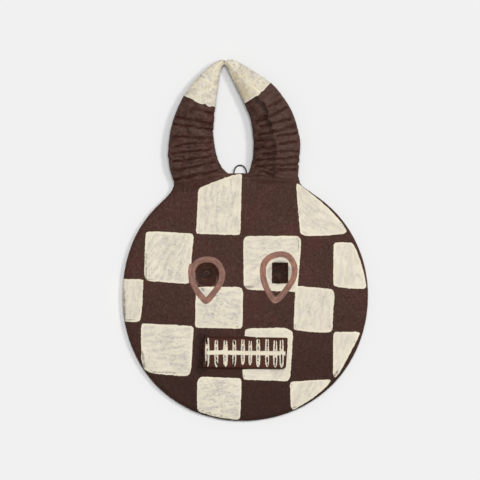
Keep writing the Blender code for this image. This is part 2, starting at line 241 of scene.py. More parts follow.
# Pressed grooves between the ribs, each a line across one flank of a horn
ribGrooves = [
    [(268, 107), (281, 100)], [(269.5, 116.5), (287, 108)], [(272, 124), (291, 119)],
    [(274, 131.6), (295, 126)], [(278, 137), (296, 133)], [(280, 144.4), (297, 142)],
    [(281.5, 152), (299, 151.5)], [(272, 159.5), (299, 157.5)], [(270, 165.5), (299, 164)],
    [(269.5, 170.7), (296, 170)],
    [(256, 122), (266, 118)], [(260, 127), (271, 125)], [(257, 135.6), (272, 132.4)],
    [(255, 141), (273, 140)], [(255, 149), (274, 147)], [(261.5, 154.7), (276, 153.5)],
    [(255, 160.5), (272, 159.5)], [(255, 167), (270, 165.5)], [(266, 173.5), (272, 175.8)],
    [(191.5, 108.6), (214, 114)], [(176, 117), (213, 124)], [(174, 124.4), (212.5, 130)],
    [(172.5, 136.7), (211, 138.4)], [(175, 146), (189, 144), (211, 143)],
    [(172.5, 154), (190, 151.7), (210, 150)], [(173, 162), (189, 159.5), (211, 156)],
    [(173, 171), (194, 167), (214.6, 162)], [(175, 180), (190, 177), (218, 171)],
]
crestLines = {
    "left": [(192.5, 107), (190.5, 118), (188, 127), (187.8, 137), (189, 147), (189.6, 157), (189.8, 167), (189, 178)],
    "right": [(227.8, 61.7), (233.3, 72.8), (239, 80.6), (245.5, 84.5), (252.2, 91.7), (256.7, 96.8), (260.5, 101),
              (265, 108), (268, 116), (269.5, 125), (273, 134), (275, 144), (275.8, 154), (274.8, 163), (273.8, 171)],
}

# The eye rings, each one brush stroke: its middle line, once round from the top
eyeRings = {
    "left": [
        (207.0, 259.4), (213.3, 260.3), (218.3, 263.8), (221.2, 268.9), (222.4, 273.9), (221.8, 278.9),
        (219.5, 284.6), (215.8, 290.2), (210.7, 296.5), (206.0, 300.9), (202.0, 297.1), (198.2, 292.7),
        (195.0, 287.1), (192.8, 281.4), (191.9, 276.4), (192.2, 271.4), (193.8, 267.0), (196.9, 262.6),
        (201.3, 260.3),
    ],
    "right": [
        (281.1, 254.2), (287.4, 255.7), (291.4, 259.8), (293.9, 265.1), (294.6, 270.7), (294.0, 275.8),
        (292.0, 281.2), (288.6, 286.2), (284.6, 291.7), (280.1, 296.9), (275.3, 300.3), (271.7, 297.1),
        (268.5, 291.7), (265.8, 286.4), (263.9, 280.8), (263.0, 275.1), (262.9, 269.5), (263.7, 264.5),
        (266.6, 260.1), (270.4, 256.9), (275.7, 255.0),
    ],
}
ringHalfWidth = 3.6
# A second stroke beside the left ring: from, to and half width, as in all the short strokes below
ringMarks = [(190.6, 265.5, 189.8, 272.0, 1.7), (189.8, 272.0, 190.4, 281.5, 1.6)]
# A painted highlight that curls at the bottom of the left pit, and painted highlights glinting on its wall
curlMarks = [(204.3, 272.4, 206.2, 271.0, 0.45), (206.2, 271.0, 208.6, 271.5, 0.5), (208.6, 271.5, 209.0, 273.4, 0.45),
             (209.0, 273.4, 207.0, 274.2, 0.4), (203.0, 268.2, 209.0, 267.2, 0.5), (201.6, 278.4, 206.0, 280.2, 0.5)]
glintMarks = [(195.0, 273.2, 195.4, 277.6, 0.8), (195.6, 279.6, 198.4, 284.4, 0.6), (215.0, 262.8, 216.8, 266.0, 0.6),
              (217.2, 275.8, 216.4, 281.4, 0.5), (202.2, 286.0, 207.0, 287.6, 0.4)]
blockFoot = [(203.2, 337.5), (201.4, 367.5)]  # where the mouth block's left end meets the dome
pupilBlock = [(272.0, 262.3), (288.0, 262.5), (288.4, 283.7), (271.4, 283.5)]

# The painted teeth: middle, top, bottom and half width, all in the photograph's pixels
teeth = [
    (207.4, 337.8, 366.4, 2.7), (216.4, 339.7, 366.9, 2.6), (225.5, 340.0, 366.2, 3.1),
    (234.3, 339.6, 366.0, 2.6), (242.9, 339.2, 364.6, 2.7), (250.2, 340.6, 364.9, 2.5),
    (258.1, 339.0, 366.8, 2.8), (267.0, 338.4, 366.6, 2.6), (275.1, 340.2, 367.0, 2.8),
    (281.5, 339.6, 367.2, 2.8),
]
lipLine = [(208.9, 352.4), (222, 352.0), (240, 352.6), (262, 352.8), (285.6, 353.0)]
lipHalf = 2.1
# A tooth's stroke: its corners, how far it narrows to its ends, its width along the way as shares, its lean and fork
toothStroke = {"corner": 0.3, "point": 3.4, "footPoint": 4.42, "top": 0.8, "waist": 0.82, "foot": 0.18, "lean": 0.35,
               "drop": 0.28, "fork": 4.2, "forkHalf": 0.5, "forked": (1, 8)}
blackSlits = [
    (206.6, 338.6, 206.9, 343.2, 0.9), (206.6, 361.0, 206.8, 365.4, 0.9), (216.2, 356.8, 216.8, 359.2, 0.6),
    (216.6, 361.8, 217.4, 364.4, 0.8), (234.2, 356.8, 233.8, 365.2, 0.75), (267.0, 357.4, 267.2, 361.6, 0.9),
    (267.2, 361.6, 267.2, 364.6, 0.5), (275.6, 357.6, 274.9, 365.4, 0.6), (281.4, 354.2, 281.5, 362.0, 0.6),
    (233.6, 340.6, 234.2, 343.4, 0.6), (257.8, 360.2, 258.0, 360.6, 0.6), (267.3, 343.0, 267.3, 346.0, 0.5),
]
bareSlits = [
    (234.9, 338.5, 234.3, 344.5, 0.5), (250.4, 338.5, 250.2, 344.0, 0.6), (275.4, 338.0, 275.2, 348.6, 0.6),
    (281.4, 337.4, 281.5, 348.6, 0.65), (242.9, 341.0, 242.9, 343.0, 0.4),
]


def roundness(angle):
    return 1 + sum(high * np.cos(waves * (angle - radians(top))) for waves, high, top in body["outOfRound"])


def domeHeight(r):
    return body["domeTop"] - body["domeRise"] * (r / body["domeFlat"]) ** 2


def outline(points):
    return np.array([place(*p) for p in points])


def softLine(points, steps=4):  # a smooth line once round through the points
    ring = outline(points)
    before, after, beyond = (np.roll(ring, turn, axis=0) for turn in (1, -1, -2))
    line = []
    for i in range(len(ring)):
        for t in np.arange(steps) / steps:
            bend = (2 * before[i] - 5 * ring[i] + 4 * after[i] - beyond[i]) * t ** 2
            bend += (3 * ring[i] - before[i] - 3 * after[i] + beyond[i]) * t ** 3
            line.append(ring[i] + 0.5 * ((after[i] - before[i]) * t + bend))
    return np.array(line + [line[0]])


def toLine(spots, line):  # distance from each spot to a chain of points, and how far along it and beside it
    best = np.full(len(spots), np.inf)
    along, beside = np.zeros((2, len(spots)))
    run = 0.0
    for a, b in zip(line, line[1:]):
        step = b - a
        length = np.hypot(*step)
        share = np.clip((spots - a) @ step / length ** 2, 0, 1)
        offset = spots - a - share[:, None] * step
        far = np.hypot(*offset.T)
        nearer = far < best
        best = np.where(nearer, far, best)
        along = np.where(nearer, run + share * length, along)
        side = (step[0] * offset[:, 1] - step[1] * offset[:, 0]) / length
        beside = np.where(nearer, side, beside)
        run += length
    return best, along, beside


def farFrom(spots, points):  # only the distance, from a line of the photograph
    return toLine(spots, outline(points))[0]


def toNearest(spots, lines):  # the same for the nearest of several lines, and which of them that is
    found = list(zip(*(toLine(spots, line) for line in lines)))
    which = np.argmin(found[0], axis=0)
    return (*(np.choose(which, values) for values in found), which)


def depthInside(spots, corners, soft):  # how deep each spot lies in a convex shape, with rounded corners
    middle = corners.mean(0)
    total = np.zeros(len(spots))
    for a, b in zip(corners, np.roll(corners, -1, axis=0)):
        step = b - a
        across = np.array((-step[1], step[0])) / np.hypot(*step)
        if (middle - a) @ across < 0:
            across = -across
        total += np.exp(-np.clip((spots - a) @ across, -200, 400) / soft)
    return -soft * np.log(total)


def depthInStrokes(spots, strokes):  # depth in the thickest of several short strokes: from, to and half width
    best = np.full(len(spots), -np.inf)
    for x1, y1, x2, y2, half in strokes:
        best = np.maximum(best, half * photoFrame["pixel"] - farFrom(spots, [(x1, y1), (x2, y2)]))
    return best


def readPoints(mesh):
    places, normals = np.empty((2, len(mesh.vertices) * 3))
    mesh.vertices.foreach_get("co", places)
    mesh.vertices.foreach_get("normal", normals)
    return places.reshape(-1, 3) * 1000, normals.reshape(-1, 3)


def store(mesh, name, values):
    attribute = mesh.attributes.new(name, "FLOAT", "POINT")
    attribute.data.foreach_set("value", values.astype(np.float32))


def plainMesh(made, name):  # the evaluated object as a mesh with no modifiers
    graph = bpy.context.evaluated_depsgraph_get()
    graph.update()
    mesh = bpy.data.meshes.new_from_object(made.evaluated_get(graph), preserve_all_data_layers=True, depsgraph=graph)
    mesh.name = name
    return mesh


def roughBody():  # the CAD body with an even skin of small faces, and its wire holes closed
    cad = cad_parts["mask"]
    bm = bmesh.new()
    bm.from_mesh(cad.data)
    bmesh.ops.remove_doubles(bm, verts=bm.verts, dist=1e-5)
    radius = body["plugRadius"] / 1000
    for x, z in body["wireHoles"]:
        plug = bmesh.ops.create_cone(bm, cap_ends=True, segments=12, radius1=radius, radius2=radius,
                                     depth=body["plugLength"] / 1000)
        bmesh.ops.rotate(bm, cent=(0, 0, 0), matrix=Matrix.Rotation(pi / 2, 3, "X"), verts=plug["verts"])
        middle = (body["discRadius"] ** 2 - x ** 2) ** 0.5 - body["plugInset"] + body["discCentre"][1]
        bmesh.ops.translate(bm, vec=(x / 1000, middle / 1000, z / 1000), verts=plug["verts"])
    mesh = bpy.data.meshes.new("roughBody")
    bm.to_mesh(mesh)
    bm.free()
    rough = linkObject(bpy.data.objects.new("roughBody", mesh))
    skin = rough.modifiers.new("skin", "REMESH")
    skin.mode = "VOXEL"
    skin.voxel_size = body["grain"]
    fit = rough.modifiers.new("fit", "SHRINKWRAP")
    fit.target = cad
    fit.wrap_method = "NEAREST_SURFACEPOINT"
    ease = rough.modifiers.new("ease", "SMOOTH")
    ease.factor = 0.5
    ease.iterations = 2
    mesh = plainMesh(rough, "maskBody")
    bpy.data.objects.remove(rough)
    return mesh


# Where the faces are cut smaller, how many times, and how far round the paint and above the back that goes
finer = {
    "cuts": {"mouth": 3, "eyes": 1, "horns": 1, "seams": 1},
    "mouthMargin": 0.5, "blockTop": 24.5, "ringMargin": 1.5, "pitMargin": 1.0, "pitWall": -0.2,
    "hornFoot": 66, "hornBack": 5, "aroundDisc": 137, "seamMargin": 1.5, "facing": 0.25,
}


def refine(mesh):  # smaller faces where the paint or the moulding is finest
    bm = bmesh.new()
    bm.from_mesh(mesh)
    for zone, cuts in finer["cuts"].items():
        bm.normal_update()
        bm.faces.ensure_lookup_table()
        spots = np.array([f.calc_center_median()[:] for f in bm.faces]) * 1000
        up = np.array([f.normal.z for f in bm.faces])
        flat = spots[:, :2]
        if zone == "mouth":
            chosen = depthInside(flat, outline(mouthCorners), blockCorner) > -finer["mouthMargin"]
            chosen &= spots[:, 2] > finer["blockTop"]
        elif zone == "eyes":
            away = toNearest(flat, [softLine(line) for line in eyeRings.values()])[0]
            chosen = away < ringHalfWidth + finer["ringMargin"]
            for middle in pits.values():
                chosen |= np.hypot(*(flat - np.array(place(*middle))).T) < body["pitRadius"] + finer["pitMargin"]
            chosen &= up > finer["pitWall"]
        elif zone == "horns":
            chosen = (flat[:, 1] > finer["hornFoot"]) & (up > finer["facing"]) & (spots[:, 2] > finer["hornBack"])
            chosen &= np.hypot(flat[:, 0], flat[:, 1] - body["discCentre"][1]) > finer["aroundDisc"]
        else:
            away = np.min([farFrom(flat, line) for line in (*stripSeams, *tipLines.values())], axis=0)
            chosen = (away < finer["seamMargin"]) & (up > finer["facing"])
        edges = {e for i in np.flatnonzero(chosen) for e in bm.faces[i].edges}
        bmesh.ops.subdivide_edges(bm, edges=list(edges), cuts=cuts, use_grid_fill=True, smooth=0.0)
    bm.to_mesh(mesh)
    bm.free()
    return mesh


paper = {                     # torn strips, and how strongly they show on the back and on the mouth block
    "strips": 420, "length": (38.0, 75.0), "width": (14.0, 22.0), "thickness": 0.13, "seed": 11,
    "ragged": ((0.5, 2.3), (0.4, 5.1)), "edge": 1.6, "sink": 0.6,
    "backRelief": 1.8, "blockRelief": 0.25, "paintThickness": 0.16, "paintEdge": 0.6,
}


def layPaper(spots, front):  # height and tone of torn strips laid one over another
    dice = np.random.default_rng(paper["seed"] + int(front))
    height = np.zeros(len(spots))
    tone = np.full(len(spots), 0.5)
    low, high = spots.min(0), spots.max(0)
    for _ in range(paper["strips"]):
        middle = low + dice.random(2) * (high - low)
        turn = dice.random() * pi
        halfLength = dice.uniform(*paper["length"]) / 2
        halfWidth = dice.uniform(*paper["width"]) / 2
        stripTone = dice.random()
        wave = dice.uniform(0, 6, 2)
        offset = spots - middle
        along = offset @ np.array((cos(turn), sin(turn)))
        across = offset @ np.array((-sin(turn), cos(turn)))
        ragged = sum(high * np.sin(along / reach + start) for (high, reach), start in zip(paper["ragged"], wave))
        inside = np.minimum(halfLength - np.abs(along), halfWidth - np.abs(across)) + ragged
        over = np.clip(inside / paper["edge"] + 0.5, 0, 1)
        height = height * (1 - over) + (height * paper["sink"] + paper["thickness"]) * over
        tone = tone * (1 - over) + stripTone * over
    return height - height.mean(), tone


# What tells the back from the front: distances in mm from the CAD body, and shares of a point's normal
sides = {
    "hollowEdge": 0.8, "underDome": 2.5, "hollowUp": 0.3, "hollowIn": -0.4, "down": -0.35,
    "pitEdge": 1.2, "pitFloor": 1.6, "pitOpening": 0.25, "blockEdge": 0.9, "blockTop": 0.6,
}


def isBehind(places, normals):  # the hollow and the back, but not the open side of an eye pit
    spots = places[:, :2]
    fromCentre = spots - np.array(body["discCentre"])
    r = np.hypot(*fromCentre.T)
    angle = np.arctan2(fromCentre[:, 1], fromCentre[:, 0])
    outward = (normals[:, :2] * fromCentre).sum(1) / np.maximum(r, 1)
    inHollow = r < body["hollowRadius"] * roundness(angle) + sides["hollowEdge"]
    inHollow &= places[:, 2] < domeHeight(r) - sides["underDome"]
    turned = (normals[:, 2] < sides["hollowUp"]) | (outward < sides["hollowIn"])
    behind = (inHollow & turned) | (normals[:, 2] < sides["down"])
    for middle in pits.values():
        fromPit = spots - np.array(place(*middle))
        away = np.hypot(*fromPit.T)
        opening = normals[:, 2] - (normals[:, :2] * fromPit).sum(1) / np.maximum(away, 1)
        inPit = away < body["pitRadius"] + sides["pitEdge"]
        inPit &= places[:, 2] > domeHeight(r) - body["pitDepth"] - sides["pitFloor"]
        behind &= ~(inPit & (opening > sides["pitOpening"]))
    return behind


def markChecks(spots):  # the cream checks, how thin their paint is and the way its strokes run
    cream = np.full(len(spots), absent)
    thin, strokeAlong, strokeAcross, drag = np.zeros((4, len(spots)))
    for turn, thinness, corners in creamChecks.values():
        depth = depthInside(spots, outline(corners), checkCorner)
        here = depth > -checkReach
        c, s = cos(radians(turn)), sin(radians(turn))
        thin = np.where(here, thinness, thin)
        strokeAlong = np.where(here, spots[:, 0] * c + spots[:, 1] * s, strokeAlong)
        strokeAcross = np.where(here, spots[:, 1] * c - spots[:, 0] * s, strokeAcross)
        cream = np.maximum(cream, depth)
    for start, end, reach in dragMarks:
        share = farFrom(spots, [start, end]) / (reach * photoFrame["pixel"])
        drag = np.maximum(drag, np.clip(dragStart - share, 0, 1))
    return {"creamDepth": cream, "creamThin": thin, "dragMark": drag,
            "strokeAlong": strokeAlong / 1000, "strokeAcross": strokeAcross / 1000}


# Shade beside the crests and the mouth block: widths in mm, strengths, and the heights where it begins and its rise
crest = {
    "bank": 9.0, "step": 2.2, "fold": 4.6, "footReach": 13.0, "onTip": 0.35, "low": 0.48, "foldDepth": 0.45,
    "horns": (60, 20), "foot": (68, 12), "inner": (72, 20), "upper": (128, 14), "tips": 140,
    "waver": ((1.1, 4.1, 0), (0.6, 1.9, 1)), "foldWaver": (0.2, 3.3), "flankEdge": 1.5,
}


def rise(y, start, reach):  # from 0 at a height to 1 above it
    return np.clip((y - start) / reach, 0, 1)


def markHorns(spots):  # the cream tips and the way along each horn, and which points are on the right one
    _, along, across, which = toNearest(spots, [outline(line) for line in hornMiddles.values()])
    beyond = [toLine(spots, outline(line))[2] for line in tipLines.values()]
    seam = [farFrom(spots, line) for line in stripSeams]
    marks = {
        "tipDepth": np.where(spots[:, 1] > crest["tips"], np.choose(which, beyond), absent),
        "seamDepth": seamHalf * photoFrame["pixel"] - np.min(seam, axis=0),
        "joinDepth": depthInStrokes(spots, joinMark), "alongHorn": along / 1000, "acrossHorn": across / 1000,
    }
    return marks, which == list(hornMiddles).index("right")


def markCrests(spots, tips, onRight, front):  # the shade beside the crests, and the flanks that they part
    y = spots[:, 1]
    _, run, beside = toLine(spots, outline(crestLines["right"]))
    beside = beside + sum(high * np.sin(run / reach + start) for high, reach, start in crest["waver"])
    bank = np.where(beside < 0, np.clip(1 + beside / crest["bank"], 0, 1), np.clip(1 - beside / crest["step"], 0, 1))
    bank = bank * bank * (3 - 2 * bank) * np.where(tips > 0, crest["onTip"], 1.0)
    bank = bank * (crest["low"] + (1 - crest["low"]) * rise(y, *crest["upper"]))
    far, run, _ = toLine(spots, outline(crestLines["left"]))
    high, reach = crest["foldWaver"]
    fold = np.clip(1 - far / crest["fold"] + high * np.sin(run / reach), 0, 1)
    fold = crest["foldDepth"] * fold * fold * (3 - 2 * fold)
    inner = np.clip(0.5 - beside / crest["flankEdge"], 0, 1)
    onHorns = rise(y, *crest["horns"]) * front
    return {
        "hornShare": onHorns, "crestPress": np.where(onRight, bank, fold) * rise(y, *crest["foot"]) * front,
        "innerFlank": inner * onRight * rise(y, *crest["inner"]) * front, "outerFlank": (1 - inner) * onRight * onHorns,
    }


def markEyes(spots):  # the rings with the way round them, the pupil, and the marks in the left pit
    far, along, across, _ = toNearest(spots, [softLine(line) for line in eyeRings.values()])
    return {
        "ringDepth": np.maximum(ringHalfWidth - far, depthInStrokes(spots, ringMarks)),
        "ringAlong": along / 1000, "ringAcross": across / 1000,
        "pupilDepth": depthInside(spots, outline(pupilBlock), blockCorner),
        "pitCurl": depthInStrokes(spots, curlMarks), "pitGlint": depthInStrokes(spots, glintMarks),
    }


def markMouth(spots):  # the teeth, forked at the top, the line of the lips and the black slits
    tooth = np.full(len(spots), absent)
    for x, top, bottom, half in teeth:
        lean = sin(x * 7)
        flank = ((toothStroke["top"], top), (1, top + toothStroke["point"]), (toothStroke["waist"], (top + bottom) / 2),
                 (1, bottom - toothStroke["footPoint"]), (toothStroke["foot"], bottom))
        right = [(x + half * share, y) for share, y in flank]
        left = [(x - half * share, y) for share, y in flank]
        right[0] = (right[0][0], top + toothStroke["drop"] * abs(lean))
        for side in (left, right):
            side[-1] = (side[-1][0] + toothStroke["lean"] * lean, bottom)
        tooth = np.maximum(tooth, depthInside(spots, outline(right + left[::-1]), toothStroke["corner"]))
    forks = [(x + 0.5, top - 1, x + 0.4 * sin(x), top + toothStroke["fork"], toothStroke["forkHalf"])
             for x, top, _, _ in teeth[slice(*toothStroke["forked"])]]
    return {
        "toothDepth": np.minimum(tooth, -depthInStrokes(spots, bareSlits + forks)),
        "lipDepth": lipHalf * photoFrame["pixel"] - farFrom(spots, lipLine),
        "slitDepth": depthInStrokes(spots, blackSlits),
    }


def paintBody(mesh):  # where each colour lies, as depths in millimetres on the points, and the paper's relief
    places, normals = readPoints(mesh)
    spots = places[:, :2]
    behind = isBehind(places, normals)
    front = ~behind
    fromCentre = np.hypot(*(spots - np.array(body["discCentre"])).T)
    onBlock = depthInside(spots, outline(mouthCorners), blockCorner) > -sides["blockEdge"]
    onBlock &= places[:, 2] > domeHeight(fromCentre) + sides["blockEdge"]

    marks, onRight = markHorns(spots)
    marks.update(markChecks(spots))
    marks.update(markEyes(spots))
    for name in ("creamDepth", "tipDepth", "ringDepth", "pupilDepth", "pitCurl", "pitGlint"):
        marks[name][behind] = absent
    marks["creamDepth"][onBlock] = absent
    mouth = markMouth(spots)
    for depth in mouth.values():
        depth[~onBlock | (normals[:, 2] < sides["blockTop"])] = absent
    marks.update(mouth)
    footShade = np.clip(1 - farFrom(spots, blockFoot) / crest["footReach"], 0, 1)
    marks["blockShade"] = footShade * (front & ~onBlock)
    marks["blockDepth"] = onBlock.astype(float)
    marks["frontSide"] = front.astype(float)

    height, tone = layPaper(spots, True)
    backHeight, backTone = layPaper(spots, False)
    marks["paperTone"] = np.where(behind, backTone, tone)
    height = np.where(behind, paper["backRelief"] * backHeight, height) * np.where(onBlock, paper["blockRelief"], 1.0)
    painted = np.clip(np.maximum(mouth["toothDepth"], mouth["lipDepth"]) / paper["paintEdge"] + 0.5, 0, 1)
    places += normals * (height + paper["paintThickness"] * painted)[:, None]
    places[:, 2] = np.maximum(places[:, 2], 0.0)
    mesh.vertices.foreach_set("co", (places / 1000).ravel())

    marks.update(markCrests(places[:, :2], marks["tipDepth"], onRight, front))
    for name, values in marks.items():
        store(mesh, name, values)
    return mesh


# What pressing and moulding by hand leaves, in metres: the inputs of the moulding tree
hands = {
    "Rib Depth": 0.0020, "Rib Width": 0.0029, "Stray": 0.0045, "Crest Depth": 0.0020,
    "Wrinkle": 0.0012, "Wrinkle Size": 0.0030, "Swell": 0.0007, "Swell Size": 0.045,
    "Lump": 0.00045, "Lump Size": 0.006, "Seed": 3.0,
}
# How the presses wander and change along a groove, how drawn out the wrinkles are, and what stays flat on the table
press = {"straySize": 0.009, "holdSize": 0.007, "hold": (0.38, 0.58, 0.70), "drawn": 0.25, "flat": 0.0004}


def guideLines(name, lines):  # lines on the table that the moulding tree presses along
    points, edges = [], []
    for line in lines:
        start = len(points)
        points += [(x / 1000, y / 1000, 0) for x, y in outline(line)]
        edges += [(i, i + 1) for i in range(start, len(points) - 1)]
    mesh = bpy.data.meshes.new(name)
    mesh.from_pydata(points, edges, [])
    return linkObject(bpy.data.objects.new(name, mesh))


def newTree(name, sizes, guides=()):  # an empty geometry tree with named inputs
    tree = bpy.data.node_groups.new(name, "GeometryNodeTree")
    kinds = {"Geometry": "Geometry"}
    kinds.update({label: "Int" if isinstance(value, int) else "Float" for label, value in sizes.items()})
    kinds.update({label: "Object" for label in guides}, Material="Material")
    sockets = {label: tree.interface.new_socket(label, in_out="INPUT", socket_type="NodeSocket" + kind)
               for label, kind in kinds.items()}
    tree.interface.new_socket("Geometry", in_out="OUTPUT", socket_type="NodeSocketGeometry")
    return tree, sockets, tree.nodes.new("NodeGroupInput").outputs, tree.nodes.new("NodeGroupOutput")


def finishTree(tree, shape, given, result):  # every tree ends smooth, real and painted
    smooth = addNode(tree, "GeometryNodeSetShadeSmooth", {"Geometry": shape})
    real = addNode(tree, "GeometryNodeRealizeInstances", {"Geometry": smooth})
    dressed = addNode(tree, "GeometryNodeSetMaterial", {"Geometry": real, "Material": given["Material"]})
    tree.links.new(dressed.outputs[0], result.inputs[0])


def wanderTo(tree, noise, amount):  # a shift to any side, from a noise's colour
    centred = addNode(tree, "ShaderNodeVectorMath", {0: noise.outputs["Color"], 1: (0.5, 0.5, 0.5)},
                      operation="SUBTRACT")
    return addNode(tree, "ShaderNodeVectorMath", {0: centred, "Scale": amount}, operation="SCALE")


def mouldingTree(sizes):
    tree, sockets, given, result = newTree("handMoulding", sizes, ("Rib Lines",))
    node = partial(addNode, tree)
    spot = node("GeometryNodeInputPosition")
    normal = node("GeometryNodeInputNormal")
    stored = {name: node("GeometryNodeInputNamedAttribute", {"Name": name}, data_type="FLOAT")
              for name in ("frontSide", "crestPress", "alongHorn", "acrossHorn", "hornShare")}

    # ribs: pressed along the guide lines, which stray as a hand does
    noise = node("ShaderNodeTexNoise", {"Scale": 1 / press["straySize"], "Detail": 2.0})
    strayed = node("ShaderNodeVectorMath", {0: spot, 1: wanderTo(tree, noise, given["Stray"])}, operation="ADD")
    flat = node("ShaderNodeVectorMath", {0: strayed, 1: (1, 1, 0)}, operation="MULTIPLY")
    lines = node("GeometryNodeObjectInfo", {"Object": given["Rib Lines"]}).outputs["Geometry"]
    near = node("GeometryNodeProximity", {"Geometry": lines, "Sample Position": flat}, target_element="EDGES")
    fall = node("ShaderNodeMapRange",
                {"Value": near.outputs["Distance"], "From Max": given["Rib Width"], "To Min": 1.0, "To Max": 0.0},
                interpolation_type="SMOOTHERSTEP")
    hold = node("ShaderNodeTexNoise", {"Scale": 1 / press["holdSize"], "Detail": 2.0})
    low, high, least = press["hold"]
    hold = node("ShaderNodeMapRange", {"Value": hold, "From Min": low, "From Max": high, "To Min": least})
    ribPress = fall
    for share in (hold, stored["frontSide"]):
        ribPress = node("ShaderNodeMath", {0: ribPress, 1: share}, operation="MULTIPLY")
    ribs = node("ShaderNodeMath", {0: ribPress, 1: given["Rib Depth"]}, operation="MULTIPLY")

    # crests, and wrinkles that run across each horn
    crests = node("ShaderNodeMath", {0: stored["crestPress"], 1: given["Crest Depth"]}, operation="MULTIPLY")
    drawnAcross = node("ShaderNodeMath", {0: stored["acrossHorn"], 1: press["drawn"]}, operation="MULTIPLY")
    hornSpot = node("ShaderNodeCombineXYZ", {0: stored["alongHorn"], 1: drawnAcross})
    scale = node("ShaderNodeMath", {0: 1.0, 1: given["Wrinkle Size"]}, operation="DIVIDE")
    wrinkle = node("ShaderNodeTexNoise", {"Vector": hornSpot, "Scale": scale, "Detail": 2.0, "Distortion": 0.5})
    creased = node("ShaderNodeMath", {0: 0.5, 1: wrinkle}, operation="SUBTRACT")
    for share in (given["Wrinkle"], stored["hornShare"]):
        creased = node("ShaderNodeMath", {0: creased, 1: share}, operation="MULTIPLY")
    pressed = ribs
    for depth in (crests, creased):
        pressed = node("ShaderNodeMath", {0: pressed, 1: depth}, operation="ADD")
    pressed = node("ShaderNodeMath", {0: pressed, 1: stored["frontSide"]}, operation="MULTIPLY")

    # swellings and lumps of the paper everywhere
    for amount, size, octaves in (("Swell", "Swell Size", 1.0), ("Lump", "Lump Size", 3.0)):
        scale = node("ShaderNodeMath", {0: 1.0, 1: given[size]}, operation="DIVIDE")
        seeded = node("ShaderNodeTexNoise", {"Scale": scale, "Detail": octaves, "W": given["Seed"]},
                      noise_dimensions="4D")
        centred = node("ShaderNodeMath", {0: 0.5, 1: seeded.outputs["Fac"]}, operation="SUBTRACT")
        height = node("ShaderNodeMath", {0: centred, 1: given[amount]}, operation="MULTIPLY")
        pressed = node("ShaderNodeMath", {0: pressed, 1: height}, operation="ADD")
    inwards = node("ShaderNodeMath", {0: pressed, 1: -1.0}, operation="MULTIPLY")
    offset = node("ShaderNodeVectorMath", {0: normal, "Scale": inwards}, operation="SCALE")
    above = node("ShaderNodeSeparateXYZ", {0: spot}).outputs["Z"]
    lifted = node("FunctionNodeCompare", {0: above, 1: press["flat"]}, operation="GREATER_THAN")
    shape = node("GeometryNodeSetPosition", {"Geometry": given["Geometry"], "Selection": lifted, "Offset": offset})
    for name, value in (("ribPress", ribPress), ("wrinkle", wrinkle)):
        shape = node("GeometryNodeStoreNamedAttribute", {"Geometry": shape, "Name": name, "Value": value},
                     data_type="FLOAT", domain="POINT")
    finishTree(tree, shape, given, result)
    return tree, sockets


def runTree(made, tree, sockets, values, name):  # sets the inputs, applies the tree and gives a plain mesh
    modifier = made.modifiers.new(tree.name, "NODES")
    modifier.node_group = tree
    for label, value in values.items():
        modifier[sockets[label].identifier] = value
    mesh = plainMesh(made, name)
    made.modifiers.remove(modifier)
    return mesh


# The paints, a line or two for each part of the mask
paint = {
    "brown": "#462b23", "brownRed": "#4f2c24", "brownGrey": "#5f4940", "brownDeep": "#23120d", "groove": "#31150d",
    "cream": "#e3dac8", "creamStroke": "#ebe2cb", "creamGrey": "#cac2b8", "speck": "#8d8683", "drag": "#6d5f58",
    "tip": "#e2d9c6", "tipEdge": "#e6d9b4", "tipSeam": "#f1e6c4", "tipGrey": "#c8bfb2", "tipLight": "#efe7d4",
    "tipPrint": "#97908e", "tipShade": "#b3a37b",
    "ring": "#916c60", "ringDark": "#7a584d", "ringLight": "#aa8273", "ringOverCream": "#a87560",
    "block": "#4e2b21", "blockLine": "#2f1812", "black": "#0d0908",
    "tooth": "#e6dcc6", "toothGrey": "#8d8580", "toothDirt": "#5d524e",
    "pupil": "#2b1912", "pupilRed": "#41271e", "pitDark": "#241510", "curl": "#7d5341", "glint": "#a09890",
}
# Noise in the paint: its size in mm, detail, roughness and distortion, and the coordinates it follows if not the spot
grains = {
    "wander": (7, 3, 0.5, 0), "shake": (2.2, 2, 0.5, 0), "ragged": (1.6, 2, 0.65, 0), "worn": (1.5, 2, 0.6, 0),
    "cloud": (26, 2, 0.5, 0), "bristle": (2, 3, 0.7, 0, "bristles"), "grit": (2.8, 3, 0.65, 0),
    "patch": (7, 3, 0.6, 0), "folds": (4, 2, 0.5, 0), "uneven": (5, 3, 0.6, 0), "broad": (4.2, 2, 0.5, 0.3, "drawn"),
    "where": (12, 2, 0.5, 0), "dabs": (3.8, 3, 0.6, 0.5), "scribble": (5.5, 2, 0.5, 1.4, "scribbles"),
    "flecks": (2.2, 2, 0.6, 1), "strokeEdge": (11, 2, 0.5, 0), "smudge": (9, 3, 0.6, 0), "fine": (1.7, 2, 0.6, 0),
    "broken": (3.6, 3, 0.75, 0.6), "tipCloud": (9, 2, 0.5, 0.6), "tipPatch": (6, 3, 0.65, 0.5),
    "tipGlow": (5, 2, 0.5, 0), "cluster": (11, 2, 0.5, 0), "printWay": (15, 0, 0.5, 0),
    "rows": (2.2, 3, 0.6, 0.8, "rows"), "columns": (2, 3, 0.6, 0.8, "columns"),
    "creases": (2.4, 4, 0.7, 1.2, "columns"), "upright": (1.9, 1, 0.5, 0, "upright"), "heart": (5, 1, 0.5, 0),
    "dirt": (1.2, 2, 0.6, 0), "dirtWhere": (7, 1, 0.5, 0), "ringCloud": (4, 3, 0.6, 0), "orange": (8, 2, 0.5, 0),
    "ringStreak": (2.3, 3, 0.6, 0.3, "roundRing"), "gloss": (3, 2, 0.5, 0), "fibres": (1.5, 3, 0.6, 0),
    "brush": (4, 2, 0.5, 0.5),
}
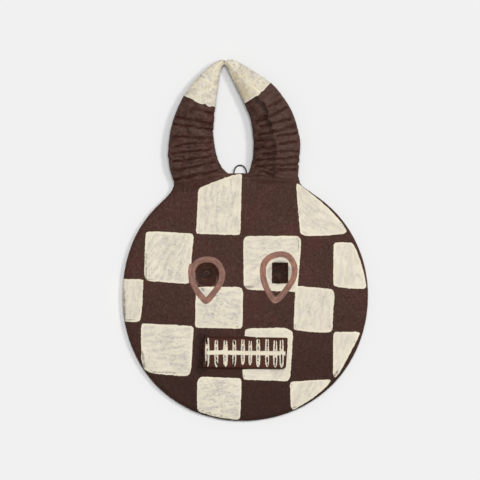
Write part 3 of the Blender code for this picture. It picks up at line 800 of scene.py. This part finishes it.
# Coordinates for drawn-out marks: what they follow, their turn in radians and their stretch
drawnOut = {
    "bristles": ("spot", 0.6, (1.0, 0.55, 1.0)), "upright": ("spot", 0.0, (1.0, 0.06, 1.0)),
    "drawn": ("stroke", 0.0, (0.28, 1.0, 1.0)), "scribbles": ("stroke", 0.0, (0.55, 1.0, 1.0)),
    "rows": ("horn", 0.0, (1.0, 0.36, 1.0)), "columns": ("horn", 0.0, (0.27, 1.0, 1.0)),
    "roundRing": ("ring", 0.0, (0.24, 1.0, 1.0)),
}
# Hand-painted edges: a stored depth in mm, the unsteadiness added to it, and how much of that
paintEdges = {
    "creamEdge": ("creamDepth", "unsteady", 1.0), "tipLine": ("tipDepth", "unsteady", 0.35),
    "toothEdge": ("toothDepth", "ragged", 1.8), "lipEdge": ("lipDepth", "ragged", 2.7),
    "slitEdge": ("slitDepth", "ragged", 1.2), "pupilEdge": ("pupilDepth", "unsteady", 0.95),
    "ringEdge": ("ringDepth", "unsteady", 0.45), "curlEdge": ("pitCurl", "worn", 1.6),
    "glintEdge": ("pitGlint", "worn", 1.6), "seamEdge": ("seamDepth", "worn", 1.3),
    "dragEdge": ("dragMark", "broken", 2.0), "joinEdge": ("joinDepth", "worn", 0.8),
}
# Thin layers of paint, one over another: a colour, its strength, and the fields that let it show, each rising
# from 0 to 1 between two values, or between two other shares where they are given
onCream = ("creamEdge", -0.35, 0.35)
thinCream = ("creamThin", 0.0, 1.0, 0.35, 1.0)
inlandCream = ("creamEdge", 4.0, 11.0, 0.30, 1.0)
onHorn = ("hornShare", 0.2, 1.0)
layers = {
    "brown": [
        ("brownRed", 0.6, ("cloud", 0.42, 0.68)),
        ("brownGrey", 0.60, ("bristle", 0.46, 0.72)),
        ("brownDeep", 0.62, ("grit", 0.48, 0.72)),
        # painted highlight on the horns' ribs between the grooves, in patches
        ("brownGrey", 0.60, ("ribPress", 0.45, 0.02), onHorn, ("patch", 0.38, 0.66)),
        # the brown darker towards the bottom of the face
        ("brownDeep", 0.50, ("upTheFace", -0.050, -0.190)),
        # painted shade on the right horn's inner flank, the side turned from the light
        ("brownDeep", 0.16, ("innerFlank", 0.0, 1.0)),
        ("brownDeep", 0.85, ("blockShade", 0.05, 0.75), ("folds", 0.40, 0.60, 0.53, 1.0)),
        ("brownRed", 0.36, ("ribPress", 0.02, 0.40), ("hornShare", 0.0, 1.0)),
        # painted shade in the wrinkles' hollows and painted highlight on their rises
        ("brownDeep", 0.34, ("wrinkle", 0.47, 0.30), onHorn),
        ("brownGrey", 0.45, ("wrinkle", 0.52, 0.66), onHorn),
        # painted light on the right horn's outer flank, the side turned to the light, outside the grooves
        ("brownGrey", 0.30, ("outerFlank", 0.0, 1.0), ("ribPress", 0.40, 0.05)),
        # painted shade and highlight of fine creases across the horns, which are colour only
        ("groove", 0.60, ("creases", 0.47, 0.37), onHorn),
        ("brownGrey", 0.60, ("creases", 0.53, 0.64), onHorn),
        # painted shade in the pressed rib grooves, weaker on the right horn's outer flank
        ("groove", 0.95, ("ribPress", 0.38, 0.86), ("outerFlank", 0.0, 1.0, 0.95, 0.62)),
        # painted shade beside the crests, over their pressed folds
        ("brownDeep", 0.84, ("crestPress", 0.05, 0.85), ("uneven", 0.36, 0.58, 0.55, 1.0)),
    ],
    "cream": [
        ("creamGrey", 0.85, ("broad", 0.46, 0.64), ("creamThin", 0.0, 1.0, 0.30, 1.0)),
        ("creamStroke", 0.80, ("broad", 0.50, 0.36)),
        ("speck", 0.46, ("scribble", 0.040, 0.008), ("where", 0.40, 0.58, 0.20, 1.0), thinCream, inlandCream),
        ("speck", 0.46, ("dabs", 0.54, 0.66), ("where", 0.38, 0.58, 0.25, 1.0), thinCream, inlandCream),
        ("creamStroke", 0.55, ("dabs", 0.46, 0.36)),
        ("speck", 0.10, ("flecks", 0.62, 0.72)),
        ("creamStroke", 1.00, ("insideStroke", -0.5, 0.6)),
        ("speck", 0.60, ("smudge", 0.58, 0.68), ("fine", 0.48, 0.60), ("creamEdge", 4.0, 1.6), ("creamEdge", 0.2, 0.9)),
        ("drag", 0.74, ("dragEdge", 0.42, 1.15)),
    ],
    "tip": [
        ("tipEdge", 0.60, ("tipCloud", 0.44, 0.66)),
        ("tipGrey", 0.70, ("tipPatch", 0.45, 0.62)),
        ("tipPrint", 0.72, ("rows", 0.49, 0.68), ("printWay", 0.42, 0.50), ("cluster", 0.40, 0.58, 0.20, 1.0)),
        ("tipPrint", 0.72, ("columns", 0.49, 0.68), ("printWay", 0.50, 0.42), ("cluster", 0.40, 0.58, 0.20, 1.0)),
        ("tipLight", 0.60, ("tipGlow", 0.46, 0.34)),
        ("tipShade", 0.46, ("innerFlank", 0.0, 1.0), ("patch", 0.30, 0.60, 0.45, 1.0)),
        ("tipSeam", 0.75, ("seamEdge", -0.30, 0.30)),
        ("tipLight", 0.70, ("tipLine", 2.2, 1.0), ("uneven", 0.40, 0.56)),
    ],
    "block": [("blockLine", 0.55, ("upright", 0.48, 0.62))],
    "tooth": [
        ("toothGrey", 1.00, ("toothEdge", 0.9, 1.7), ("heart", 0.36, 0.54)),
        ("toothDirt", 0.75, ("dirt", 0.54, 0.64), ("dirtWhere", 0.36, 0.60)),
    ],
    "pupil": [("pupilRed", 1.00, ("uneven", 0.40, 0.65))],
    "ring": [
        ("ringDark", 0.80, ("ringCloud", 0.35, 0.70)),
        ("ringOverCream", 0.90, onCream, ("orange", 0.45, 0.62, 0.15, 1.0)),
        ("ringDark", 0.66, ("ringStreak", 0.50, 0.62)),
        ("ringLight", 0.66, ("ringStreak", 0.47, 0.37)),
        ("ringDark", 0.55, ("ringEdge", 0.9, 0.1)),
    ],
}
# Where each painted part covers the ones before it
cover = [
    ("cream", 1.0, onCream),
    ("tip", 1.0, ("tipLine", -0.25, 0.25)),
    # painted shade in the crevice where the tips meet
    ("brownDeep", 0.9, ("joinEdge", -0.2, 0.3)),
    ("block", 1.0, ("blockDepth", 0.3, 0.7)),
    ("tooth", 1.0, ("toothEdge", -0.22, 0.14)),
    ("toothPlain", 1.0, ("lipEdge", -0.12, 0.25)),
    ("black", 1.0, ("slitEdge", -0.15, 0.20)),
    ("pupil", 1.0, ("pupilEdge", -0.3, 0.3)),
    ("ring", 1.0, ("ringEdge", -0.25, 0.25)),
    # painted shade deepening towards the middle of each pit, over the left pit's darker paint
    ("pitDark", 0.72, ("leftPit", 0.0123, 0.0043), ("frontSide", 0.0, 1.0), ("creamEdge", 0.35, -0.35)),
    ("pitDark", 0.35, ("rightPit", 0.0123, 0.0043), ("frontSide", 0.0, 1.0), ("creamEdge", 0.35, -0.35)),
    # a painted highlight curling in the left pit, and painted highlights glinting on its wall
    ("curl", 0.42, ("curlEdge", -0.3, 0.5)),
    ("glint", 0.36, ("glintEdge", -0.2, 0.5)),
]
# The painter's hand, in mm: how far an edge wanders and shakes, and how wide the stroke along a check's edge is
painter = {"wander": 1.8, "shake": 1.1, "middle": 1.45, "edgeStroke": 4.5}
# The dried paint: how much its tone and roughness vary, its faint shine, and its fine relief in metres
finish = {"stripTone": 0.12, "roughLeast": 0.58, "roughSpan": 0.25, "refraction": 1.47, "shine": 0.18,
          "bump": 0.0007, "bumpShare": 0.55}
# Relief too fine for the mesh: fibres, brush marks and the thickness of the paint, as heights between two values
fineRelief = [("fibres", 0.0, 1.0, 0.30), ("brush", 0.0, 1.0, 0.35), ("creamEdge", -0.35, 0.35, 0.30),
              ("ringEdge", -0.25, 0.25, 0.15), ("tipLine", -0.25, 0.25, 0.25), ("seamEdge", -0.25, 0.35, 0.10)]


def layPaint(tree, surface, fields, stack, tones):  # each layer over the ones before it
    for tone, strength, *factors in stack:
        share = strength
        for source, low, high, *reach in factors:
            least, most = reach or (0.0, 1.0)
            part = addNode(tree, "ShaderNodeMapRange", {
                "Value": fields[source], "From Min": low, "From Max": high, "To Min": least, "To Max": most,
            }, interpolation_type="SMOOTHSTEP")
            share = addNode(tree, "ShaderNodeMath", {0: part, 1: share}, operation="MULTIPLY")
        surface = addNode(tree, "ShaderNodeMix", {0: share, 6: surface, 7: tones[tone]}, data_type="RGBA")
    return surface


def paintedPaper():  # acrylic brushed on papier-mache: matte, uneven, with fibres and strip edges under it
    material, tree, shader = newMaterial("brushedAcrylicOnPaper")
    node = partial(addNode, tree)
    spot = node("ShaderNodeTexCoord").outputs["Object"]
    stored = ["frontSide", "hornShare", "ribPress", "wrinkle", "crestPress", "innerFlank", "outerFlank", "paperTone",
              "blockShade", "blockDepth", "creamThin", "alongHorn", "acrossHorn", "strokeAlong", "strokeAcross",
              "ringAlong", "ringAcross"] + [depth for depth, _, _ in paintEdges.values()]
    fields = {name: node("ShaderNodeAttribute", attribute_name=name).outputs["Fac"] for name in stored}
    fields["upTheFace"] = node("ShaderNodeSeparateXYZ", {0: spot}).outputs["Y"]
    places = {
        "spot": spot,
        "stroke": node("ShaderNodeCombineXYZ", {0: fields["strokeAlong"], 1: fields["strokeAcross"]}),
        "horn": node("ShaderNodeCombineXYZ", {0: fields["acrossHorn"], 1: fields["alongHorn"]}),
        "ring": node("ShaderNodeCombineXYZ", {0: fields["ringAlong"], 1: fields["ringAcross"]}),
    }
    for name, (follows, turn, stretch) in drawnOut.items():
        places[name] = node("ShaderNodeMapping",
                            {"Vector": places[follows], "Rotation": (0, 0, turn), "Scale": stretch})
    for name, (size, detail, rough, twist, *follows) in grains.items():
        fields[name] = node("ShaderNodeTexNoise", {
            "Vector": places[follows[0] if follows else "spot"], "Scale": 1000 / size,
            "Detail": detail, "Roughness": rough, "Distortion": twist,
        }).outputs["Fac"]

    # the painter's unsteady hand, and lines where a field crosses its middle
    steady = node("ShaderNodeMath", {0: fields["wander"], 1: painter["wander"], 2: -painter["middle"]},
                  operation="MULTIPLY_ADD")
    fields["unsteady"] = node("ShaderNodeMath", {0: fields["shake"], 1: painter["shake"], 2: steady},
                              operation="MULTIPLY_ADD")
    for name in ("ragged", "worn", "broken", "scribble"):
        fields[name] = node("ShaderNodeMath", {0: fields[name], 1: 0.5}, operation="SUBTRACT")
    fields["scribble"] = node("ShaderNodeMath", {0: fields["scribble"]}, operation="ABSOLUTE")
    for name, (depth, hand, amount) in paintEdges.items():
        fields[name] = node("ShaderNodeMath", {0: fields[hand], 1: amount, 2: fields[depth]}, operation="MULTIPLY_ADD")
    strokeEdge = node("ShaderNodeMath", {0: fields["strokeEdge"], 1: painter["edgeStroke"]}, operation="MULTIPLY")
    fields["insideStroke"] = node("ShaderNodeMath", {0: strokeEdge, 1: fields["creamEdge"]}, operation="SUBTRACT")
    flat = node("ShaderNodeVectorMath", {0: spot, 1: (1, 1, 0)}, operation="MULTIPLY")
    for side, middle in pits.items():
        x, y = place(*middle)
        away = node("ShaderNodeVectorMath", {0: flat, 1: (x / 1000, y / 1000, 0)}, operation="DISTANCE")
        fields[side + "Pit"] = away.outputs["Value"]

    tones = {name: colour(value) for name, value in paint.items()}
    tones["toothPlain"] = tones["tooth"]
    for name, stack in layers.items():
        tones[name] = layPaint(tree, tones[name], fields, stack, tones)
    surface = layPaint(tree, tones["brown"], fields, cover, tones)
    tone = node("ShaderNodeMath", {0: fields["paperTone"], 1: finish["stripTone"], 2: 1 - finish["stripTone"] / 2},
                operation="MULTIPLY_ADD")
    toned = node("ShaderNodeVectorMath", {0: surface, "Scale": tone}, operation="SCALE")
    tree.links.new(toned.outputs[0], shader.inputs["Base Color"])

    rough = node("ShaderNodeMath", {0: fields["gloss"], 1: finish["roughSpan"], 2: finish["roughLeast"]},
                 operation="MULTIPLY_ADD")
    tree.links.new(rough.outputs[0], shader.inputs["Roughness"])
    shader.inputs["IOR"].default_value = finish["refraction"]
    shader.inputs["Specular IOR Level"].default_value = finish["shine"]

    relief = 0.0
    for source, low, high, height in fineRelief:
        part = node("ShaderNodeMapRange",
                    {"Value": fields[source], "From Min": low, "From Max": high, "To Max": height})
        relief = node("ShaderNodeMath", {0: part, 1: relief}, operation="ADD")
    bump = node("ShaderNodeBump", {"Height": relief, "Distance": finish["bump"], "Strength": finish["bumpShare"]})
    tree.links.new(bump.outputs[0], shader.inputs["Normal"])
    return material


def makeBody():
    mesh = paintBody(refine(roughBody()))
    made = linkObject(bpy.data.objects.new("maskBody", mesh))
    print("body skin:", len(mesh.polygons), "faces")
    ribs = guideLines("ribLines", ribGrooves)
    tree, sockets = mouldingTree(hands)
    values = {**hands, "Rib Lines": ribs, "Material": paintedPaper()}
    made.data = runTree(made, tree, sockets, values, "maskBody")
    bpy.data.objects.remove(ribs)
    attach(made, "root")
    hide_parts("mask")
    return made


maskBody = makeBody()
print("body ready")

# The hanging wire: an arch, two legs through the rim and two tails behind it, in metres
wire = {
    "radius": 0.0008, "middle": -0.0058, "height": 0.0033, "halfSpan": 0.0075, "rise": 0.0092, "archBase": 0.0808,
    "tailY": 0.0721, "tailReach": 0.0165, "bend": 0.0022, "sides": 12, "kink": 0.00018, "seed": 5.0,
    "kinkSize": 1 / 180, "tailSteps": 5, "bendSteps": 6, "legSteps": 4, "archSteps": 24,
    "dark": "#1d1514", "rust": "#36251f", "patchSize": 0.0025, "roughness": 0.55, "metallic": 0.3, "bump": 0.0001,
}


def darkWire():  # soft iron wire that has been painted over: nearly black, dull, with a little rust
    material, tree, shader = newMaterial("paintedIronWire")
    node = partial(addNode, tree)
    spot = node("ShaderNodeTexCoord").outputs["Object"]
    patches = node("ShaderNodeTexNoise", {"Vector": spot, "Scale": 1 / wire["patchSize"], "Detail": 3.0}).outputs["Fac"]
    tint = node("ShaderNodeMix", {0: patches, 6: colour(wire["dark"]), 7: colour(wire["rust"])}, data_type="RGBA")
    tree.links.new(tint.outputs[2], shader.inputs["Base Color"])
    shader.inputs["Roughness"].default_value = wire["roughness"]
    shader.inputs["Metallic"].default_value = wire["metallic"]
    bump = node("ShaderNodeBump", {"Height": patches, "Distance": wire["bump"]})
    tree.links.new(bump.outputs[0], shader.inputs["Normal"])
    return material


def wirePath():
    leg, bend, tail, low, base = (wire[name] for name in ("halfSpan", "bend", "tailReach", "tailY", "archBase"))
    tails, bends, legs, arcs = (wire[name] for name in ("tailSteps", "bendSteps", "legSteps", "archSteps"))
    side = [(tail - (tail - leg - bend) * i / tails, low) for i in range(tails + 1)]
    for i in range(1, bends + 1):
        a = pi / 2 * i / bends
        side.append((leg + bend * (1 - sin(a)), low + bend * (1 - cos(a))))
    side += [(leg, low + bend + (base - low - bend) * i / legs) for i in range(1, legs + 1)]
    arch = [(leg * cos(pi * i / arcs), base + wire["rise"] * sin(pi * i / arcs)) for i in range(1, arcs)]
    path = side + arch + [(-x, y) for x, y in reversed(side)]
    return [(x + wire["middle"], y, wire["height"]) for x, y in path]


def wireTree(sizes):
    tree, sockets, given, result = newTree("bentWire", sizes)
    node = partial(addNode, tree)
    line = node("GeometryNodeMeshToCurve", {"Mesh": given["Geometry"]})
    noise = node("ShaderNodeTexNoise", {"Scale": 1 / wire["kinkSize"], "Detail": 1.0, "W": given["Seed"]},
                 noise_dimensions="4D")
    bent = node("GeometryNodeSetPosition", {"Geometry": line, "Offset": wanderTo(tree, noise, given["Kink"])})
    ring = node("GeometryNodeCurvePrimitiveCircle", {"Resolution": given["Sides"], "Radius": given["Radius"]})
    tube = node("GeometryNodeCurveToMesh", {"Curve": bent, "Profile Curve": ring.outputs[0], "Fill Caps": True})
    finishTree(tree, tube, given, result)
    return tree, sockets


def makeWire():
    path = wirePath()
    mesh = bpy.data.meshes.new("wirePath")
    mesh.from_pydata(path, [(i, i + 1) for i in range(len(path) - 1)], [])
    made = linkObject(bpy.data.objects.new("hangingWire", mesh))
    sizes = {"Radius": wire["radius"], "Kink": wire["kink"], "Seed": wire["seed"], "Sides": wire["sides"]}
    tree, sockets = wireTree(sizes)
    values = {**sizes, "Material": darkWire()}
    made.data = runTree(made, tree, sockets, values, "hangingWire")
    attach(made, "root")
    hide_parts("hanging_wire")
    return made


hangingWire = makeWire()
print("wire ready")

for piece in (maskBody, hangingWire):
    piece.data.calc_loop_triangles()
    print(piece.name, len(piece.data.loop_triangles), "triangles")
